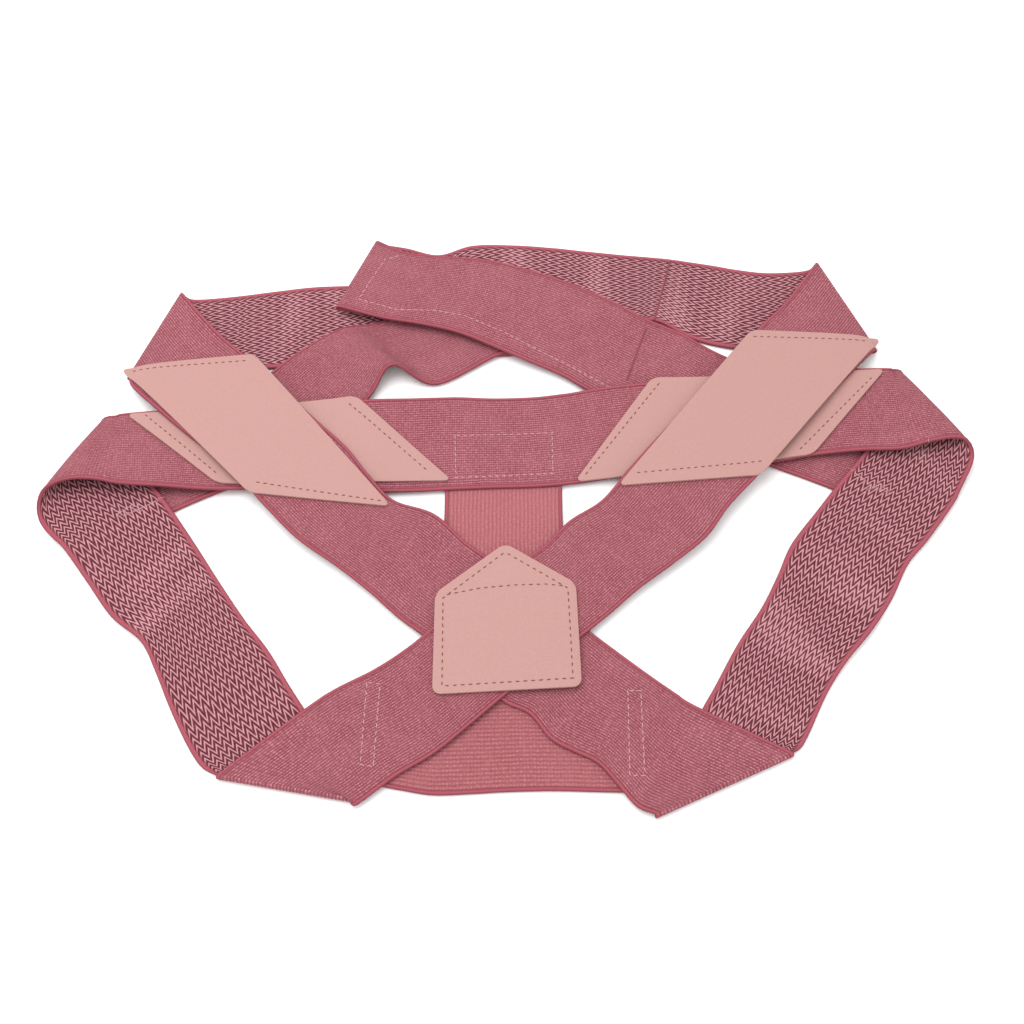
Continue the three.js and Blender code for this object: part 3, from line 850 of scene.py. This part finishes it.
class Finish:
    """A material and short ways to join its nodes."""

    def __init__(self, name, roughness):
        self.material = bpy.data.materials.new(name)
        self.material.use_nodes = True
        self.tree = self.material.node_tree
        self.shader = self.tree.nodes["Principled BSDF"]
        self.shader.inputs["Roughness"].default_value = roughness
        self.shader.inputs["Specular IOR Level"].default_value = 0.25

    def node(self, kind, values=(), **settings):
        """A new node with its settings, and values or links for its sockets."""
        node = self.tree.nodes.new(kind)
        for key, value in settings.items():
            setattr(node, key, value)
        for socket, value in values:
            self.join(value, node.inputs[socket])
        return node

    def join(self, value, socket):
        """Links a socket, or sets it to a plain value."""
        if isinstance(value, bpy.types.NodeSocket):
            self.tree.links.new(value, socket)
        else:
            socket.default_value = value

    def math(self, operation, *values, clamp=False):
        pairs = list(enumerate(values))
        return self.node("ShaderNodeMath", pairs, operation=operation, use_clamp=clamp).outputs[0]

    def rise(self, value, low, high):
        """0 below low, 1 above high, smooth between."""
        pairs = [("Value", value), ("From Min", low), ("From Max", high)]
        node = self.node("ShaderNodeMapRange", pairs, interpolation_type="SMOOTHSTEP")
        return node.outputs[0]

    def mix(self, share, a, b):
        node = self.node("ShaderNodeMix", data_type="RGBA")
        self.join(share, node.inputs["Factor"])
        self.join(a, node.inputs["A"])
        self.join(b, node.inputs["B"])
        return node.outputs["Result"]

    def noise(self, vector, scale, detail=2.0):
        pairs = [("Vector", vector), ("Scale", scale), ("Detail", detail)]
        return self.node("ShaderNodeTexNoise", pairs).outputs[0]

    def stretched(self, vector, scale):
        """The same place with its axes scaled, for a drawn-out pattern."""
        pairs = [("Vector", vector), ("Scale", scale)]
        return self.node("ShaderNodeMapping", pairs).outputs[0]

    def weave(self):
        """The piece's own map: the pair as a vector, metres across, metres along."""
        uv = self.node("ShaderNodeUVMap", uv_map="weave").outputs[0]
        split = self.node("ShaderNodeSeparateXYZ", [(0, uv)])
        return uv, split.outputs[0], split.outputs[1]

    def wave(self, value, period):
        """A wave from 0 to 1 with that period."""
        turns = self.math("MULTIPLY", value, 2 * math.pi / period)
        return self.math("MULTIPLY_ADD", self.math("COSINE", turns), 0.5, 0.5)

    def finish(self, colour, height, depth):
        """Gives the surface its colour and a bump of that depth."""
        self.join(colour, self.shader.inputs["Base Color"])
        bump = self.node("ShaderNodeBump", [("Height", height), ("Distance", depth)])
        self.join(bump.outputs[0], self.shader.inputs["Normal"])
        return self.material


def selvedge(f, across, along, colour, height, width, cord):
    """Adds the edge cord, of the given breadth, with painted shade on its rounded outer sliver, and
    the thin dark line inside it to a weave.
    """
    far = f.math("SUBTRACT", width, across)
    edge = f.math("MINIMUM", across, far)
    inside = f.rise(edge, cord - 0.0003, cord + 0.0003)
    line = f.math("SUBTRACT", inside, f.rise(edge, cord + 0.0007, cord + 0.0013))
    twist = f.wave(f.math("ADD", along, edge), CORD_TWIST)
    # painted shade: the outermost sliver of the cord, where its rounded edge turns down, is mixed
    # to a darker tone
    edge_shade = f.rise(edge, 0.0002, 0.0009)
    rim = f.mix(twist, tone(CORD), tone([c * 0.9 for c in CORD]))
    rim = f.mix(edge_shade, tone([c * 0.8 for c in CORD]), rim)
    colour = f.mix(inside, rim, colour)
    colour = f.mix(f.math("MULTIPLY", line, 0.6), colour, tone(CORD_LINE))
    height = f.math("MULTIPLY", height, inside)
    return colour, f.math("ADD", height, f.math("MULTIPLY", twist, 0.15))


def ribbed_webbing(name, tones, rib, pick, crossing, contrast, width):
    """The plain face: ribs along the strap, crossed by the picks of the weft."""
    f = Finish(name, 0.9)
    uv, across, along = f.weave()
    across_rib = f.math("MULTIPLY_ADD", f.noise(uv, 55.0, 3.0), 0.0012, across)
    along_pick = f.math("MULTIPLY_ADD", f.noise(uv, 40.0, 2.0), 0.0016, along)
    ribs = f.rise(f.wave(across_rib, rib), 0.0, 0.8)
    picks = f.rise(f.wave(along_pick, pick), 0.0, 0.8)
    crossed = f.math("MULTIPLY_ADD", picks, crossing, 1.0 - crossing)
    cell = f.math("MULTIPLY", ribs, crossed)
    drawn = f.stretched(uv, (1.0, 0.55, 1.0))
    fleck = f.noise(drawn, 950.0, 2.0)
    plain = f.rise(f.noise(uv, 90.0, 2.0), 0.35, 0.7)
    depth = f.math("MULTIPLY_ADD", plain, -0.2 * contrast, contrast)
    gap = f.math("MULTIPLY", f.math("SUBTRACT", 1.0, cell), depth)
    spot = f.math("MULTIPLY", f.rise(fleck, 0.62, 0.38), contrast)
    colour = f.mix(gap, tone(tones[0]), tone(tones[1]))
    colour = f.mix(f.math("MULTIPLY", spot, 0.55), colour, tone(tones[1]))
    sparkle = f.math("MULTIPLY", f.rise(cell, 0.5, 1.0), f.rise(fleck, 0.45, 0.7))
    colour = f.mix(f.math("MULTIPLY", sparkle, contrast * 0.55), colour, tone(tones[2]))
    cloud = f.rise(f.noise(uv, 22.0, 2.0), 0.3, 0.75)
    colour = f.mix(f.math("MULTIPLY", cloud, 0.06), colour, tone(tones[2]))
    colour, height = selvedge(f, across, along, colour, cell, width, RIBBED_CORD)
    return f.finish(colour, height, 0.0003)


def zigzag_webbing(name):
    """The inner face: pale zigzag yarns across a dark ground."""
    f = Finish(name, 0.85)
    uv, across, along = f.weave()
    bands = f.stretched(uv, (0.3, 1.0, 1.0))
    bunching = f.math("MULTIPLY_ADD", f.noise(bands, 32.0, 2.0), BUNCHING, along)
    wander = f.math("MULTIPLY_ADD", f.noise(uv, 120.0, 2.0), 0.0012, bunching)
    turns = f.math("FRACT", f.math("DIVIDE", across, TOOTH))
    tooth = f.math("ABSOLUTE", f.math("MULTIPLY_ADD", turns, 2.0, -1.0))
    phase = f.math("MULTIPLY_ADD", tooth, TOOTH_DEPTH, wander)
    place = f.math("FRACT", f.math("DIVIDE", phase, YARN_SPACING))
    off = f.math("ABSOLUTE", f.math("MULTIPLY_ADD", place, 2.0, -1.0))
    bunched = f.rise(f.noise(bands, 30.0, 1.0), 0.5, 0.7)
    reach = f.math("MULTIPLY_ADD", bunched, 0.14, YARN_REACH)
    past = f.math("SUBTRACT", off, reach)
    yarn = f.math("SUBTRACT", 1.0, f.rise(past, -0.1, 0.12))
    beside = f.math("SUBTRACT", 1.0, f.rise(past, 0.1, 0.36))
    fleck = f.noise(uv, 900.0, 2.0)
    ground = f.mix(f.rise(fleck, 0.35, 0.75), tone(ZIGZAG_DEEP), tone(ZIGZAG_GROUND))
    ground = f.mix(f.math("MULTIPLY", beside, 0.6), ground, tone(ZIGZAG_MIDDLE))
    pale = f.mix(f.rise(fleck, 0.3, 0.65), tone([c * 0.88 for c in ZIGZAG_YARN]), tone(ZIGZAG_YARN))
    colour = f.mix(yarn, ground, pale)
    colour, height = selvedge(f, across, along, colour, yarn, WIDTH, ZIGZAG_CORD)
    return f.finish(colour, height, 0.0006)


def leatherette(name, rgb):
    """Matt leatherette with a fine grain."""
    f = Finish(name, 0.55)
    spot = f.node("ShaderNodeTexCoord").outputs["Object"]
    grain = f.noise(spot, 900.0, 3.0)
    cloud = f.noise(spot, 25.0, 2.0)
    colour = f.mix(f.rise(grain, 0.35, 0.7), tone([c * 0.97 for c in rgb]), tone(rgb))
    colour = f.mix(f.math("MULTIPLY", cloud, 0.15), colour, tone([c * 0.95 for c in rgb]))
    return f.finish(colour, grain, 0.00012)


def thread(name, rgb):
    """Sewing thread, a little uneven in tone."""
    f = Finish(name, 0.6)
    spot = f.node("ShaderNodeTexCoord").outputs["Object"]
    grain = f.noise(spot, 2500.0, 1.0)
    colour = f.mix(grain, tone([c * 0.9 for c in rgb]), tone(rgb))
    return f.finish(colour, grain, 0.00005)


def floor_and_light():
    """A plain white floor under soft light from all round and a large lamp overhead."""
    bm = bmesh.new()
    bmesh.ops.create_grid(bm, x_segments=1, y_segments=1, size=4.0)
    bmesh.ops.translate(bm, verts=bm.verts, vec=(0, 0, -FLOOR_DROP))
    white = bpy.data.materials.new("white_floor")
    white.use_nodes = True
    shader = white.node_tree.nodes["Principled BSDF"]
    shader.inputs["Base Color"].default_value = FLOOR_WHITE
    shader.inputs["Roughness"].default_value = 0.9
    shader.inputs["Specular IOR Level"].default_value = 0.0
    floor = new_object("floor", bm, [white])
    world = bpy.data.worlds.new("studio")
    world.use_nodes = True
    background = world.node_tree.nodes["Background"]
    background.inputs[0].default_value = (1, 1, 1, 1)
    background.inputs[1].default_value = SKY_STRENGTH
    bpy.context.scene.world = world
    lamp = bpy.data.lights.new("overhead", "AREA")
    lamp.shape = "DISK"
    lamp.size = LAMP_SIZE
    lamp.energy = LAMP_POWER
    stand = bpy.data.objects.new("overhead", lamp)
    stand.location = LAMP_PLACE
    stand.rotation_euler = (-stand.location).to_track_quat("-Z", "Y").to_euler()
    bpy.context.collection.objects.link(stand)


def camera():
    """The camera at the photo's place, looking down over the nape end."""
    data = bpy.data.cameras.new("camera")
    data.lens = LENS
    data.sensor_width = SENSOR
    eye = bpy.data.objects.new("camera", data)
    eye.location = CAMERA_PLACE
    eye.rotation_euler = (math.radians(CAMERA_TILT), 0, 0)
    bpy.context.collection.objects.link(eye)
    bpy.context.scene.camera = eye


RIBBED = ribbed_webbing("rose_ribbed", (ROSE, ROSE_DARK, ROSE_LIGHT), RIB, PICK, 0.6, 0.85, WIDTH)
ZIGZAG = zigzag_webbing("rose_zigzag")
CORALS = (CORAL, CORAL_DARK, CORAL_LIGHT)
SPINE_RIBBED = ribbed_webbing("spine_ribbed", CORALS, COARSE_RIB, COARSE_PICK, 0.3, 0.4, WIDE_WIDTH)
NAPE_RIBBED = ribbed_webbing("nape_ribbed", CORALS, COARSE_RIB, COARSE_PICK, 0.5, 0.6, NAPE_WIDTH)
SKIN = leatherette("leatherette", LEATHER)
# the patches' rims in a lighter tone, a painted highlight on their raised edges
LIT_RIM = leatherette("leatherette_rim_highlight", LEATHER_RIM_HIGHLIGHT)
DARK = thread("dark_thread", DARK_THREAD)
PALE = thread("pale_thread", PALE_THREAD)
SEAM = thread("seam_thread", [c * 0.85 for c in CORD])

loop = make_strap(LOOP)
lower = make_strap(LOWER_CROSS)
upper = make_strap(UPPER_CROSS)
loop_piece = strap_piece("loop_webbing", loop, [RIBBED, ZIGZAG])
lower_piece = strap_piece("lower_cross_webbing", lower, [RIBBED, ZIGZAG])
upper_piece = strap_piece("upper_cross_webbing", upper, [RIBBED, ZIGZAG])
spine = straight_strap(*[plan_of(x, y) for x, y in SPINE_ENDS], WIDE_WIDTH)
nape = make_strap(NAPE, NAPE_WIDTH)
spine_piece = strap_piece("spine_webbing", spine, [SPINE_RIBBED, SPINE_RIBBED])
nape_piece = strap_piece("nape_webbing", nape, [NAPE_RIBBED, NAPE_RIBBED])
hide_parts("shoulder_strap_right", "back_band", "shoulder_strap_left")
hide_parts("cross_strap_lower")
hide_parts("cross_strap_upper", "front_tab", "belt_strap_right")
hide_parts("spine_strap")
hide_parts("nape_band")
pieces = [loop_piece, lower_piece, upper_piece, spine_piece, nape_piece]

# What each patch lies on: the strap, its piece, and the stations between which it does
CARRIERS = {
    "patch_upper_left": (lower, lower_piece, 0, 11.9),
    "patch_upper_right": (upper, upper_piece, 0, 12.9),
    "patch_lower_left": (loop, loop_piece, 19, 38),
    "patch_lower_right": (loop, loop_piece, 19, 38),
}


def flat_size(corners):
    """The smallest rectangle round a patch, and the patch's own area."""
    points = [plan_of(x, y) for x, y in corners]
    sides = list(zip(points, points[1:] + points[:1]))
    sizes = []
    for start, end in sides:
        along = (end - start).normalized()
        across = quarter_turn(along)
        spans = []
        for axis in (across, along):
            places = [point.dot(axis) for point in points]
            spans.append(max(places) - min(places))
        sizes.append(tuple(sorted(spans)))
    area = abs(sum(a.x * b.y - b.x * a.y for a, b in sides)) / 2
    return min(sizes, key=lambda size: size[0] * size[1]), area


def lay_patch(name, corners):
    """A patch over its strap; the one on the crossing lies level on the stack."""

    def height(point):
        if name not in CARRIERS:
            return CENTRE_PATCH_LAYERS * LAYER
        strap, _, first, last = CARRIERS[name]
        on = height_on(strap, leg_rows(strap, first, last), point)
        return on + THICKNESS / 2 + PATCH_LIFT

    piece = patch_piece(name + "_leather", corners, height, [SKIN, LIT_RIM])
    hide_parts(name)
    pieces.append(piece)
    return piece


patch_pieces = {name: lay_patch(name, corners) for name, corners in PATCHES.items()}
strap_list = [loop_piece, lower_piece, upper_piece]
for patch_name, patch_lines in PATCH_STITCHES.items():
    patch = patch_pieces[patch_name]
    rows_of_stitches = stitch_piece(
        patch_name + "_stitches", patch_lines, [patch], PATCH_STITCH, DARK
    )
    flat, area = flat_size(PATCHES[patch_name])
stitch_piece("webbing_stitches", WEBBING_STITCHES, strap_list, WEBBING_STITCH, PALE)
stitch_piece("tab_seams", SEAMS, strap_list, SEAM_STITCH, SEAM)
stitch_piece("loose_threads", LOOSE_THREADS, strap_list, LOOSE_STITCH, PALE)

for piece in pieces:
    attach(piece, "root")

floor_and_light()
camera()
bpy.context.scene.view_settings.view_transform = "Standard"
